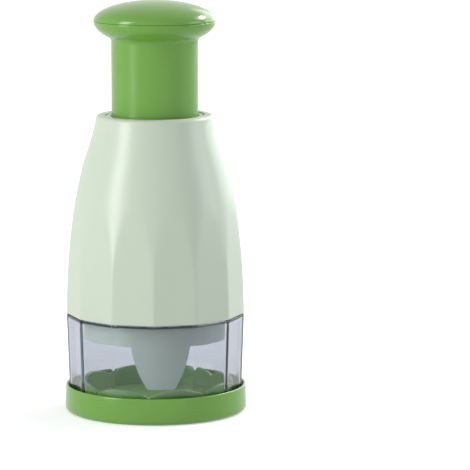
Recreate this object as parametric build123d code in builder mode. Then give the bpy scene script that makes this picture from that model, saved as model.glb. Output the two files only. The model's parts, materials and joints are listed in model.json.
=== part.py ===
from build123d import *

import os
from math import acos, atan2, cos, degrees, pi, radians, sin, tan

# Plunger food chopper. Millimetres, +Z up, front towards -Y.
# The origin is on the table, under the centre of the base.

# ---------------------------------------------------------------- driving dimensions

# Faceted foot that the cup and the housing share
facet_count = 13
ridge_turn = -1.25
ridge_softness = 0.8
seam_height = 37.5

# Base
base_side_lean = 0.3
base_rim_height = 10.1
base_rim_wall = 0.9
base_floor_top = 4.6
base_floor_thickness = 2.2
base_edge_rounding = 1.8
recess_slope_width = 0.4
foot_ring_width = 1.6
tab_count = 8
tab_turn = 5.5
tab_wall = 1.6
tab_height = 7.4
tab_valley_height = 3.9
tab_to_cup_gap = 1.87

# Cup
cup_draft = 1.9
cup_wall = 1.8
cup_base_play = 0.29
cup_shoulder_thickness = 2.0
neck_wall = 1.4
neck_height = 9.0
neck_lead_in = 0.6
neck_to_sleeve_gap = 2.0

# Housing
housing_wall = 2.4
housing_top_wall = 2.4
housing_top_ledge = 3.4
housing_top_rounding = 1.7
socket_wall = 1.96
socket_clearance = 0.4
socket_headroom = 1.0
facet_bulge_height = 20.5
facet_bulge_fall = 0.76
facet_fade_height = 42.5
facet_fade_fall = 2.56
cutter_overshoot = 2.0

# Plunger
plunger_radius = 16.4
plunger_wall = 1.8
flare_rounding = 2.0
knob_radius = 23.0
knob_dome_height = 7.7
knob_underside_height = 9.3
knob_end_gap = 1.0
knob_wall = 2.0
knob_rim_ledge = 1.0
knob_cavity_depth = 3.1
knob_skirt_depth = 2.4
knob_skirt_wall = 1.6
knob_skirt_fit = 0.1
seam_chamfer = 0.3
web_depth = 7.3
web_thickness = 2.5
web_slope_width = 2.0
flange_width = 4.2
flange_thickness = 3.0
flange_notch_play = 0.4
tube_end_gap = 1.1

# Guide bush
bush_clearance = 0.25
bush_wall = 1.95
bush_length = 12.5
bush_collar_width = 1.6
bush_collar_thickness = 2.3
bush_top_depth = 0.3
bush_fit = 0.1
flange_stop_gap = 0.1

# Guard sleeve
sleeve_wall = 1.6
sleeve_web_thickness = 2.4
sleeve_lip_height = 0.5
sleeve_lip_width = 0.8
tongue_turn = 4.2
tongue_to_tab_gap = 0.5
tongue_length = 15.9
tongue_half_width_top = 10.9
tongue_half_width_middle = 9.2
tongue_middle_height = 8.7
tongue_half_width_bottom = 4.9
tongue_corner_radius = 2.2

# Bearing plate, nut and guard screws
plate_overhang = 1.7
plate_thickness = 2.0
slot_length = 12.0
slot_width = 4.5
spring_ring_wall = 1.2
spring_ring_height = 1.6
nut_radius = 8.0
nut_flange_width = 1.7
nut_flange_thickness = 1.6
nut_depth = 5.0
nut_fit = 0.1
nut_to_hub_gap = 0.8
boss_count = 3
boss_turn = 30.0
boss_radius = 3.2
boss_to_bush_gap = 0.6
boss_to_collar_gap = 4.3
boss_rib_width = 1.6
screw_head_radius = 2.6
screw_head_height = 2.2
screw_head_gap = 0.6
screw_shank_radius = 1.4
screw_grip_length = 9.0
pilot_spare_depth = 1.0
screw_hole_clearance = 0.2

# Spindle and its washers
spindle_side = 8.0
spindle_corner_radius = 1.0
spindle_play = 0.25
turn_per_stroke = 45.0
twist_spare_length = 2.6
drive_length = 2.6
shaft_radius = 3.9
journal_radius = 3.0
journal_play = 0.05
washer_radius = 7.0
washer_thickness = 1.0
washer_play = 0.1
spindle_screw_head_radius = 3.4
spindle_screw_head_height = 2.2
spindle_screw_radius = 1.5
spindle_screw_length = 10.0

# Blade carrier and blade
carrier_side_gap = 1.2
carrier_to_wiper_gap = 1.7
carrier_rim_depth = 1.6
carrier_rim_width = 1.6
carrier_disc_thickness = 2.6
carrier_hub_radius = 7.2
carrier_hub_height = 1.6
blade_thickness = 0.8
blade_edge_height = 1.4
blade_edge_thickness = 0.2
blade_seat_depth = 1.8
blade_holder_width = 3.0
blade_side_gap = 3.0
blade_fold_count = 7
blade_fold_radius = 1.8
blade_height_in_wiper = 0.9
blade_gap_to_floor = 0.2
blade_screw_head_radius = 2.7
blade_screw_length = 8.0
blade_screw_radius = 1.5

# Wiper
wiper_thickness = 2.2
wiper_play = 0.3
wiper_slot_play = 0.5
wiper_ring_gap = 0.2
wiper_ring_height = 1.5
wiper_ring_width = 0.75

# Return spring
spring_side_gap = 0.65
spring_wire_radius = 0.65
spring_turns = 10

# Housing form, from the seam to the top: share of its height, and share of the way in
housing_curve = [
    (0.0, 0.0),
    (0.113, 0.021),
    (0.252, 0.063),
    (0.377, 0.138),
    (0.503, 0.238),
    (0.629, 0.381),
    (0.748, 0.556),
    (0.844, 0.749),
    (0.926, 0.9),
    (1.0, 1.0),
]

# ---------------------------------------------------------------- radii, from the plunger outwards

half_facet = 180.0 / facet_count
ridge_share = 1 / cos(radians(half_facet))
ridge_slope = tan(radians(cup_draft)) * ridge_share

tube_bore_radius = plunger_radius - plunger_wall
flange_radius = plunger_radius + flange_width
bush_bore_radius = plunger_radius + bush_clearance
bush_radius = bush_bore_radius + bush_wall
bush_collar_radius = bush_radius + bush_collar_width
housing_top_radius = bush_radius + housing_top_ledge
boss_pitch_radius = bush_radius + boss_to_bush_gap + boss_radius
sleeve_bore_radius = boss_pitch_radius + screw_head_radius + screw_head_gap
sleeve_radius = sleeve_bore_radius + sleeve_wall
plate_radius = sleeve_radius + plate_overhang
neck_bore_radius = sleeve_radius + neck_to_sleeve_gap
neck_radius = neck_bore_radius + neck_wall
socket_radius = neck_radius + socket_clearance
facet_apothem = socket_radius + socket_wall
ridge_radius = facet_apothem * ridge_share

cup_height = seam_height - base_floor_top
cup_foot_ridge = ridge_radius - cup_height * ridge_slope
tab_radius = cup_foot_ridge / ridge_share - cup_wall - tab_to_cup_gap
tab_bore_radius = tab_radius - tab_wall
base_inner_radius = ridge_radius - (seam_height - base_rim_height) * ridge_slope + cup_base_play
base_rim_radius = base_inner_radius + base_rim_wall
base_radius = base_rim_radius + base_side_lean

carrier_radius = sleeve_bore_radius - carrier_side_gap
blade_radius = sleeve_bore_radius - blade_side_gap
wiper_radius = sleeve_bore_radius - wiper_play
nut_flange_radius = nut_radius + nut_flange_width
spring_radius = nut_flange_radius + spring_side_gap + spring_wire_radius
rim_bore_radius = knob_radius - knob_wall - seam_chamfer - knob_rim_ledge
skirt_radius = rim_bore_radius - knob_skirt_fit

# ---------------------------------------------------------------- heights, from the table up

tab_top = base_floor_top + tab_height
tab_valley = base_floor_top + tab_valley_height
tongue_bottom = tab_top + tongue_to_tab_gap
sleeve_bottom = tongue_bottom + tongue_length
wiper_bottom = sleeve_bottom + sleeve_lip_height
wiper_top = wiper_bottom + wiper_thickness
blade_bottom = wiper_bottom + blade_height_in_wiper

stroke = blade_bottom - base_floor_top - blade_gap_to_floor
twist_per_mm = turn_per_stroke / stroke

carrier_bottom = wiper_top + stroke + carrier_to_wiper_gap
disc_bottom = carrier_bottom + carrier_rim_depth
carrier_top = disc_bottom + carrier_disc_thickness
blade_top = carrier_bottom + blade_seat_depth
twist_bottom = carrier_top + carrier_hub_height
spindle_bottom = twist_bottom - drive_length
nut_bottom = twist_bottom + nut_to_hub_gap
plate_top = nut_bottom + nut_depth
sleeve_top = plate_top - plate_thickness
nut_top = plate_top + nut_flange_thickness
twist_top = nut_top + stroke + twist_spare_length

socket_top = seam_height + neck_height + socket_headroom
tube_bottom = nut_top + stroke + tube_end_gap
flange_top = tube_bottom + flange_thickness
bush_bottom = flange_top + flange_stop_gap
bush_top = bush_bottom + bush_length
housing_top = bush_top + bush_top_depth
cavity_top = housing_top - housing_top_wall
boss_top = cavity_top - bush_collar_thickness - boss_to_collar_gap
knob_seam_height = housing_top + stroke + knob_end_gap + knob_underside_height
knob_cavity_floor = knob_seam_height - knob_cavity_depth
web_top = knob_seam_height - web_depth
web_bottom = web_top - web_thickness
shaft_top = web_bottom - washer_thickness
journal_top = web_top + washer_play


def front_angle(turn):
    """Polar angle of a direction given as a turn from the front towards +X."""
    return turn - 90.0


def outward(angle):
    """Level direction at that polar angle."""
    return Vector(cos(radians(angle)), sin(radians(angle)), 0)


def wall_plane(angle, radius=0.0):
    """Upright plane that faces outwards at that polar angle: x runs round, y runs up."""
    return Plane(origin=outward(angle) * radius, x_dir=outward(angle + 90), z_dir=outward(angle))


def section_plane(angle):
    """Upright plane through the axis: x runs outwards at that polar angle, y runs up."""
    return Plane(origin=(0, 0, 0), x_dir=outward(angle), z_dir=outward(angle - 90))


def foot_outline(ridge):
    """The many-sided outline of the foot, ridges slightly softened, on the sketch in hand."""
    outline = RegularPolygon(ridge, facet_count, rotation=front_angle(ridge_turn), align=None)
    fillet(outline.vertices(), ridge_softness)


def disc_with_hole(outer, inner):
    """A flat ring on the sketch in hand."""
    Circle(outer)
    Circle(inner, mode=Mode.SUBTRACT)


def dome_line(radius, height):
    """A quarter of an ellipse above the knob's seam, from its top to its rim, as one smooth line."""
    turns = [radians(90 - 22.5 * i) for i in range(5)]
    points = [(radius * cos(t), knob_seam_height + height * sin(t)) for t in turns]
    return Spline(*points, tangents=((1, 0), (0, -1)))


def twisted_bar(side, corner, bottom, top):
    """A square bar along Z that turns as it rises, in step with the spindle."""
    turn = twist_per_mm * (bottom - twist_bottom)
    with BuildSketch(Plane.XY.offset(bottom)) as section:
        RectangleRounded(side, side, corner, rotation=turn)
    square = section.sketch.faces()[0]
    rise = top - bottom
    return Solid.extrude_linear_with_rotation(square, (0, 0, bottom), (0, 0, rise), twist_per_mm * rise)


def fold_corners():
    """Corners of the blade's folded line, set so that each rounded fold just reaches the blade's circle."""
    pitch = 2 * blade_radius * cos(radians(90.0 / blade_fold_count)) / (blade_fold_count - 1)
    corners = []
    for i in range(blade_fold_count):
        x = (i - (blade_fold_count - 1) / 2) * pitch
        y = (blade_radius**2 - x**2) ** 0.5
        corners.append(Vector(x, y if i % 2 else -y))
    # the corner lies beyond its rounded fold, by more where the legs are steeper, so it is found by steps
    for _ in range(60):
        for i in range(1, blade_fold_count - 1):
            to_last = (corners[i - 1] - corners[i]).normalized()
            to_next = (corners[i + 1] - corners[i]).normalized()
            half_angle = radians(to_last.get_angle(to_next) / 2)
            fold_centre = corners[i] + (to_last + to_next).normalized() * (blade_fold_radius / sin(half_angle))
            shortfall = blade_radius - blade_fold_radius - fold_centre.length
            corners[i] += Vector(0, shortfall if i % 2 else -shortfall)
    return corners


def blade_ribbon(width, height):
    """The folded line of the blade as a ribbon of that width, as a flat face at that height."""
    with BuildSketch(Plane.XY.offset(height)) as ribbon:
        with BuildLine() as folds:
            FilletPolyline(*fold_corners(), radius=blade_fold_radius)
        trace(folds.edges(), line_width=width)
    return ribbon.sketch


# ---------------------------------------------------------------- base

# Turned from one profile: foot ring, recessed underside, floor and upright rim.
with BuildPart() as base_cap:
    foot_outer = base_radius - base_edge_rounding
    foot_inner = foot_outer - foot_ring_width
    recess_top = base_floor_top - base_floor_thickness
    with BuildSketch(Plane.XZ):
        with BuildLine():
            recess_corner = (foot_inner - recess_slope_width, recess_top)
            Polyline((0, recess_top), recess_corner, (foot_inner, 0), (foot_outer, 0))
            RadiusArc((foot_outer, 0), (base_radius, base_edge_rounding), -base_edge_rounding)
            Polyline(
                (base_radius, base_edge_rounding),
                (base_rim_radius, base_rim_height),
                (base_inner_radius, base_rim_height),
                (base_inner_radius, base_floor_top),
                (0, base_floor_top),
                (0, recess_top),
            )
        make_face()
    revolve(axis=Axis.Z)
    rim_edges = base_cap.edges().filter_by(GeomType.CIRCLE).group_by(Axis.Z)[-1]
    fillet(rim_edges, base_rim_wall * 0.35)
    with BuildSketch(Plane.XY.offset(base_floor_top)):
        disc_with_hole(tab_radius, tab_bore_radius)
    extrude(amount=tab_height)
    # a notch between two tabs falls in an arc from each side to its valley
    notch_width = tab_radius * tan(pi / tab_count)
    notch_fall = tab_top - tab_valley
    for i in range(tab_count):
        notch_angle = 90.0 - tab_turn + 360.0 * i / tab_count
        with BuildSketch(wall_plane(notch_angle, tab_bore_radius - tab_wall)):
            with BuildLine():
                EllipticalCenterArc((-notch_width, tab_valley), notch_width, notch_fall, 0, arc_size=90)
                EllipticalCenterArc((notch_width, tab_valley), notch_width, notch_fall, 90, arc_size=90)
                Polyline(
                    (-notch_width, tab_top),
                    (-notch_width, tab_top + tab_wall),
                    (notch_width, tab_top + tab_wall),
                    (notch_width, tab_top),
                )
            make_face()
        extrude(amount=3 * tab_wall, mode=Mode.SUBTRACT)

# ---------------------------------------------------------------- cup

with BuildPart() as clear_cup:
    shoulder_underside = seam_height - cup_shoulder_thickness
    shoulder_ridge = ridge_radius - cup_shoulder_thickness * ridge_slope
    with BuildSketch(Plane.XY.offset(base_floor_top)):
        foot_outline(cup_foot_ridge)
    with BuildSketch(Plane.XY.offset(seam_height)):
        foot_outline(ridge_radius)
    loft(ruled=True)
    with BuildSketch(Plane.XY.offset(base_floor_top)):
        foot_outline(cup_foot_ridge - cup_wall * ridge_share)
    with BuildSketch(Plane.XY.offset(shoulder_underside)):
        foot_outline(shoulder_ridge - cup_wall * ridge_share)
    loft(ruled=True, mode=Mode.SUBTRACT)
    with BuildSketch(Plane.XY.offset(seam_height)):
        Circle(neck_radius)
    extrude(amount=neck_height)
    neck_mouth = clear_cup.edges().filter_by(GeomType.CIRCLE).sort_by(Axis.Z)[-1]
    chamfer(neck_mouth, neck_lead_in)
    with BuildSketch(Plane.XY.offset(shoulder_underside)):
        Circle(neck_bore_radius)
    extrude(amount=cup_shoulder_thickness + neck_height, mode=Mode.SUBTRACT)

# ---------------------------------------------------------------- housing

housing_profile = []
for up, way_in in housing_curve:
    profile_radius = ridge_radius + way_in * (housing_top_radius - ridge_radius)
    housing_profile.append((profile_radius, seam_height + up * (housing_top - seam_height)))

# The cavity leaves the bosses standing, so it is made first and then cut from the form.
with BuildPart() as housing_cavity:
    cavity_profile = []
    for r, z in housing_profile:
        if socket_top + neck_height / 2 < z < cavity_top:
            cavity_profile.append((r - housing_wall, z))
    with BuildSketch(Plane.XZ):
        with BuildLine():
            socket_line = [(0, seam_height), (socket_radius, seam_height), (socket_radius, socket_top)]
            Polyline(*socket_line, cavity_profile[0])
            Spline(*cavity_profile)
            collar_pocket = (bush_collar_radius + bush_fit, cavity_top)
            Polyline(cavity_profile[-1], collar_pocket, (0, cavity_top), (0, seam_height))
        make_face()
    revolve(axis=Axis.Z)
    for i in range(boss_count):
        boss_direction = outward(boss_turn + 360.0 * i / boss_count)
        with BuildSketch(Plane(origin=(0, 0, plate_top), x_dir=boss_direction, z_dir=(0, 0, 1))):
            with Locations((boss_pitch_radius, 0)):
                Circle(boss_radius)
                Rectangle(ridge_radius, boss_rib_width, align=(Align.MIN, Align.CENTER))
        extrude(amount=boss_top - plate_top, mode=Mode.SUBTRACT)

with BuildPart() as housing_shell:
    with BuildSketch(Plane.XZ):
        with BuildLine():
            Spline(*housing_profile)
            Polyline(housing_profile[-1], (0, housing_top), (0, seam_height), housing_profile[0])
        make_face()
    revolve(axis=Axis.Z)
    top_edge = housing_shell.edges().filter_by(GeomType.CIRCLE).sort_by(Axis.Z)[-1]
    fillet(top_edge, housing_top_rounding)
    # each facet cutter follows a shallow bow, so its mark ends in an arch
    facet_start = (facet_apothem, seam_height)
    facet_middle = (facet_apothem - facet_bulge_fall, seam_height + facet_bulge_height)
    facet_end = (facet_apothem - facet_fade_fall, seam_height + facet_fade_height)
    clear_radius = ridge_radius + cutter_overshoot
    facet_half_width = facet_apothem * tan(radians(half_facet)) + cutter_overshoot
    for i in range(facet_count):
        with BuildSketch(section_plane(front_angle(ridge_turn) + half_facet * (2 * i + 1))):
            with BuildLine():
                facet_line = Spline(facet_start, facet_middle, facet_end)
                steep = facet_line % 1
                rise = (clear_radius - facet_end[0]) / 2
                beyond = (facet_end[0] + steep.X / steep.Y * rise, facet_end[1] + rise)
                outer_corners = [(clear_radius, beyond[1]), (clear_radius, seam_height)]
                Polyline(facet_end, beyond, *outer_corners, facet_start)
            make_face()
        extrude(amount=facet_half_width, both=True, mode=Mode.SUBTRACT)
    add(housing_cavity.part, mode=Mode.SUBTRACT)
    with BuildSketch(Plane.XY.offset(cavity_top)):
        Circle(bush_radius + bush_fit)
    extrude(amount=housing_top_wall, mode=Mode.SUBTRACT)
    with BuildSketch(Plane.XY.offset(plate_top)):
        with PolarLocations(boss_pitch_radius, boss_count, start_angle=boss_turn):
            Circle(screw_shank_radius)
    extrude(amount=screw_grip_length + pilot_spare_depth, mode=Mode.SUBTRACT)

with BuildPart() as guide_bush:
    with BuildSketch(Plane.XY.offset(bush_bottom)):
        disc_with_hole(bush_radius, bush_bore_radius)
    extrude(amount=bush_length)
    with BuildSketch(Plane.XY.offset(cavity_top)):
        disc_with_hole(bush_collar_radius, bush_bore_radius)
    extrude(amount=-bush_collar_thickness)
    mouth_edges = guide_bush.edges().filter_by(GeomType.CIRCLE).group_by(Axis.Z)[-1]
    fillet(mouth_edges, bush_wall * 0.25)

# ---------------------------------------------------------------- guard sleeve and bearing plate

with BuildPart() as guard_sleeve:
    with BuildSketch(Plane.XY.offset(sleeve_bottom)):
        disc_with_hole(sleeve_radius, sleeve_bore_radius)
    extrude(amount=sleeve_top - sleeve_bottom)
    # web across the top, open in the middle for the nut
    with BuildSketch(Plane.XY.offset(sleeve_top)):
        disc_with_hole(sleeve_bore_radius, nut_radius + nut_fit)
        with PolarLocations(boss_pitch_radius, boss_count, start_angle=boss_turn):
            Circle(screw_shank_radius + screw_hole_clearance, mode=Mode.SUBTRACT)
    extrude(amount=-sleeve_web_thickness)
    # lip that the wiper disc rests on
    with BuildSketch(Plane.XY.offset(sleeve_bottom)):
        disc_with_hole(sleeve_bore_radius, sleeve_bore_radius - sleeve_lip_width)
    extrude(amount=sleeve_lip_height)

# The tongue's outline cuts it out of a ring, at the front only.
with BuildPart() as sleeve_tongue:
    with BuildSketch(Plane.XY.offset(sleeve_bottom)):
        disc_with_hole(sleeve_radius, sleeve_bore_radius)
    extrude(amount=tongue_bottom - sleeve_bottom)
    with BuildSketch(wall_plane(front_angle(tongue_turn))) as tongue_outline:
        with BuildLine():
            for side in (-1, 1):
                ThreePointArc(
                    (side * tongue_half_width_top, sleeve_bottom),
                    (side * tongue_half_width_middle, tongue_bottom + tongue_middle_height),
                    (side * tongue_half_width_bottom, tongue_bottom),
                )
            Line((-tongue_half_width_bottom, tongue_bottom), (tongue_half_width_bottom, tongue_bottom))
            Line((-tongue_half_width_top, sleeve_bottom), (tongue_half_width_top, sleeve_bottom))
        make_face()
        fillet(tongue_outline.vertices().group_by(Axis.Y)[0], tongue_corner_radius)
    extrude(amount=sleeve_radius + sleeve_wall, mode=Mode.INTERSECT)

with BuildPart() as guard_with_tongue:
    add(guard_sleeve.part)
    add(sleeve_tongue.part)

with BuildPart() as bearing_plate:
    with BuildSketch(Plane.XY.offset(sleeve_top)):
        disc_with_hole(plate_radius, nut_radius + nut_fit)
        with PolarLocations(boss_pitch_radius, boss_count, start_angle=boss_turn):
            Circle(screw_shank_radius + screw_hole_clearance, mode=Mode.SUBTRACT)
        with PolarLocations(boss_pitch_radius, boss_count, start_angle=boss_turn + 180.0 / boss_count):
            SlotOverall(slot_length, slot_width, rotation=90, mode=Mode.SUBTRACT)
    extrude(amount=plate_thickness)
    # low wall that keeps the spring's foot in place
    spring_ring_bore = spring_radius + spring_wire_radius + washer_play
    with BuildSketch(Plane.XY.offset(plate_top)):
        disc_with_hole(spring_ring_bore + spring_ring_wall, spring_ring_bore)
    extrude(amount=spring_ring_height)

nut_hole = twisted_bar(
    spindle_side + 2 * spindle_play, spindle_corner_radius + spindle_play, nut_bottom, nut_top
)
with BuildPart() as cam_nut:
    with BuildSketch(Plane.XY.offset(nut_bottom)):
        Circle(nut_radius)
    extrude(amount=nut_depth)
    with BuildSketch(Plane.XY.offset(plate_top)):
        Circle(nut_flange_radius)
    extrude(amount=nut_flange_thickness)
    add(nut_hole, mode=Mode.SUBTRACT)

with BuildPart() as guard_screws:
    head_seat = sleeve_top - sleeve_web_thickness
    with BuildSketch(Plane.XY.offset(head_seat)):
        with PolarLocations(boss_pitch_radius, boss_count, start_angle=boss_turn):
            Circle(screw_head_radius)
    extrude(amount=-screw_head_height)
    fillet(guard_screws.edges().group_by(Axis.Z)[0], screw_head_height * 0.4)
    with BuildSketch(Plane.XY.offset(head_seat)):
        with PolarLocations(boss_pitch_radius, boss_count, start_angle=boss_turn):
            Circle(screw_shank_radius)
    extrude(amount=plate_top - head_seat + screw_grip_length)

# ---------------------------------------------------------------- plunger

with BuildPart() as plunger_tube:
    flare_start = -degrees(acos(plunger_radius / knob_radius))
    with BuildSketch(Plane.XZ) as tube_profile:
        with BuildLine():
            flare = EllipticalCenterArc(
                (0, knob_seam_height), knob_radius, knob_underside_height, flare_start, arc_size=-flare_start
            )
            Polyline(
                flare @ 1,
                (rim_bore_radius, knob_seam_height),
                (rim_bore_radius, knob_cavity_floor),
                (tube_bore_radius + web_slope_width / 2, knob_cavity_floor),
                (tube_bore_radius - web_slope_width / 2, web_top),
                (journal_radius + journal_play, web_top),
                (journal_radius + journal_play, web_bottom),
                (tube_bore_radius, web_bottom),
                (tube_bore_radius, tube_bottom),
                (plunger_radius, tube_bottom),
                flare @ 0,
            )
        make_face()
        flare_corner = tube_profile.vertices().sort_by_distance(flare @ 0)[0]
        fillet(flare_corner, flare_rounding)
    revolve(axis=Axis.Z)
    seam_edges = plunger_tube.edges().filter_by(GeomType.CIRCLE).group_by(Axis.Z)[-1]
    chamfer(seam_edges.sort_by(SortBy.RADIUS)[-1], seam_chamfer)
    # flange that stops under the bush, notched round the housing's bosses so it can't turn
    with BuildSketch(Plane.XY.offset(flange_top)):
        disc_with_hole(flange_radius, tube_bore_radius)
        with PolarLocations(boss_pitch_radius, boss_count, start_angle=boss_turn):
            Circle(boss_radius + flange_notch_play, mode=Mode.SUBTRACT)
    extrude(amount=-flange_thickness)

with BuildPart() as knob_cap:
    with BuildSketch(Plane.XZ):
        with BuildLine():
            dome = dome_line(knob_radius, knob_dome_height)
            inner_radius = skirt_radius - knob_skirt_wall
            inner_dome = dome_line(inner_radius, knob_dome_height - knob_wall)
            Polyline(
                dome @ 1,
                (skirt_radius, knob_seam_height),
                (skirt_radius, knob_seam_height - knob_skirt_depth),
                (inner_radius, knob_seam_height - knob_skirt_depth),
                inner_dome @ 1,
            )
            Line(inner_dome @ 0, dome @ 0)
        make_face()
    revolve(axis=Axis.Z)
    seam_edge = knob_cap.edges().filter_by(GeomType.CIRCLE).sort_by(SortBy.RADIUS)[-1]
    chamfer(seam_edge, seam_chamfer)

# ---------------------------------------------------------------- rotor: spindle, washers, carrier, blade

with BuildPart() as spiral_spindle:
    with BuildSketch(Plane.XY.offset(spindle_bottom)):
        RectangleRounded(spindle_side, spindle_side, spindle_corner_radius)
    extrude(amount=drive_length)
    add(twisted_bar(spindle_side, spindle_corner_radius, twist_bottom, twist_top))
    with BuildSketch(Plane.XY.offset(twist_top)):
        Circle(shaft_radius)
    extrude(amount=shaft_top - twist_top)
    with BuildSketch(Plane.XY.offset(shaft_top)):
        Circle(journal_radius)
    extrude(amount=journal_top - shaft_top)
    with BuildSketch(Plane.XY.offset(journal_top)):
        Circle(spindle_screw_radius)
    extrude(amount=-spindle_screw_length, mode=Mode.SUBTRACT)
    with BuildSketch(Plane.XY.offset(spindle_bottom)):
        Circle(blade_screw_radius)
    extrude(amount=blade_screw_length, mode=Mode.SUBTRACT)

with BuildPart() as thrust_washer:
    with BuildSketch(Plane.XY.offset(shaft_top)):
        disc_with_hole(washer_radius, journal_radius + washer_play)
    extrude(amount=washer_thickness - washer_play)

with BuildPart() as spindle_washer:
    with BuildSketch(Plane.XY.offset(journal_top)):
        disc_with_hole(washer_radius, spindle_screw_radius + washer_play)
    extrude(amount=washer_thickness)

with BuildPart() as spindle_screw:
    washer_top = journal_top + washer_thickness
    with BuildSketch(Plane.XY.offset(washer_top)):
        Circle(spindle_screw_head_radius)
    extrude(amount=spindle_screw_head_height)
    fillet(spindle_screw.edges().group_by(Axis.Z)[-1], spindle_screw_head_height * 0.4)
    with BuildSketch(Plane.XY.offset(washer_top)):
        Circle(spindle_screw_radius)
    extrude(amount=-(washer_thickness + spindle_screw_length * 0.9))

with BuildPart() as blade_carrier:
    with BuildSketch(Plane.XY.offset(disc_bottom)):
        Circle(carrier_radius)
    extrude(amount=carrier_disc_thickness)
    with BuildSketch(Plane.XY.offset(carrier_bottom)):
        disc_with_hole(carrier_radius, carrier_radius - carrier_rim_width)
    extrude(amount=carrier_rim_depth)
    with BuildSketch(Plane.XY.offset(carrier_top)):
        Circle(carrier_hub_radius)
    extrude(amount=carrier_hub_height)
    # raised holder that follows the folds, with the groove that the blade sits in
    with BuildSketch(Plane.XY.offset(carrier_bottom)):
        Circle(carrier_radius)
        add(blade_ribbon(blade_holder_width, 0), mode=Mode.INTERSECT)
    extrude(amount=carrier_rim_depth)
    with BuildSketch(Plane.XY.offset(carrier_bottom)):
        add(blade_ribbon(blade_thickness, 0))
    extrude(amount=blade_seat_depth, mode=Mode.SUBTRACT)
    # room for the screw's head, square socket for the spindle's foot, and the screw's hole
    with BuildSketch(Plane.XY.offset(carrier_bottom)):
        Circle(blade_screw_head_radius + screw_hole_clearance)
    extrude(amount=carrier_rim_depth, mode=Mode.SUBTRACT)
    with BuildSketch(Plane.XY.offset(spindle_bottom)):
        RectangleRounded(spindle_side, spindle_side, spindle_corner_radius)
    extrude(amount=drive_length, mode=Mode.SUBTRACT)
    with BuildSketch(Plane.XY.offset(carrier_bottom)):
        Circle(blade_screw_radius + screw_hole_clearance)
    extrude(amount=spindle_bottom - carrier_bottom, mode=Mode.SUBTRACT)

# folded strip, ground from both sides to a narrow cutting edge along the bottom
with BuildPart() as zigzag_blade:
    edge_top = blade_bottom + blade_edge_height
    grind_angle = degrees(atan2((blade_thickness - blade_edge_thickness) / 2, blade_edge_height))
    add(blade_ribbon(blade_thickness, edge_top))
    extrude(amount=blade_top - edge_top)
    with BuildSketch(Plane.XY.offset(edge_top)):
        add(blade_ribbon(blade_thickness, 0))
    extrude(amount=-blade_edge_height, taper=grind_angle)

with BuildPart() as blade_screw:
    with BuildSketch(Plane.XY.offset(disc_bottom)):
        Circle(blade_screw_head_radius)
    extrude(amount=-carrier_rim_depth)
    with BuildSketch(Plane.XY.offset(disc_bottom)):
        Circle(blade_screw_radius)
    extrude(amount=spindle_bottom - disc_bottom + blade_screw_length * 0.9)

# ---------------------------------------------------------------- wiper

with BuildPart() as wiper_disc:
    with BuildSketch(Plane.XY.offset(wiper_bottom)):
        Circle(wiper_radius)
        add(blade_ribbon(blade_thickness + 2 * wiper_slot_play, 0), mode=Mode.SUBTRACT)
    extrude(amount=wiper_thickness)

with BuildPart() as wiper_ring:
    with BuildSketch(Plane.XY.offset(wiper_top + wiper_ring_gap)):
        disc_with_hole(sleeve_bore_radius, sleeve_bore_radius - wiper_ring_width)
    extrude(amount=wiper_ring_height)

# ---------------------------------------------------------------- return spring

with BuildPart() as return_spring:
    coil_height = web_bottom - plate_top - 2 * spring_wire_radius
    coil_foot = (0, 0, plate_top + spring_wire_radius)
    with BuildLine() as coil:
        Helix(coil_height / spring_turns, coil_height, spring_radius, center=coil_foot)
    with BuildSketch(Plane(origin=coil.line @ 0, z_dir=coil.line % 0)):
        Circle(spring_wire_radius)
    sweep()

# ---------------------------------------------------------------- named pieces, one file each

pieces = {
    "base_cap": base_cap,
    "clear_cup": clear_cup,
    "housing_shell": housing_shell,
    "guide_bush": guide_bush,
    "guard_sleeve": guard_with_tongue,
    "bearing_plate": bearing_plate,
    "cam_nut": cam_nut,
    "guard_screws": guard_screws,
    "wiper_disc": wiper_disc,
    "wiper_ring": wiper_ring,
    "return_spring": return_spring,
    "plunger_tube": plunger_tube,
    "knob_cap": knob_cap,
    "spiral_spindle": spiral_spindle,
    "thrust_washer": thrust_washer,
    "spindle_washer": spindle_washer,
    "spindle_screw": spindle_screw,
    "blade_carrier": blade_carrier,
    "zigzag_blade": zigzag_blade,
    "blade_screw": blade_screw,
}

os.makedirs("parts", exist_ok=True)
for name, piece in pieces.items():
    piece.part.label = name
    export_step(piece.part, f"parts/{name}.step")
print(f"stroke {stroke:.2f} mm, twist {twist_per_mm:.4f} degrees per mm")
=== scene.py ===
"""Looks of the plunger food chopper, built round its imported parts.

Every size in this file is in millimetres and every angle in degrees. Meshes are made in
metres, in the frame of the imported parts: +Z up, front towards -Y, origin on the table
under the centre of the base.
"""

from __future__ import annotations

import json
import logging
import math
from dataclasses import dataclass, field
from enum import Enum
from functools import partial
from typing import Callable, Iterable, Sequence

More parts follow.
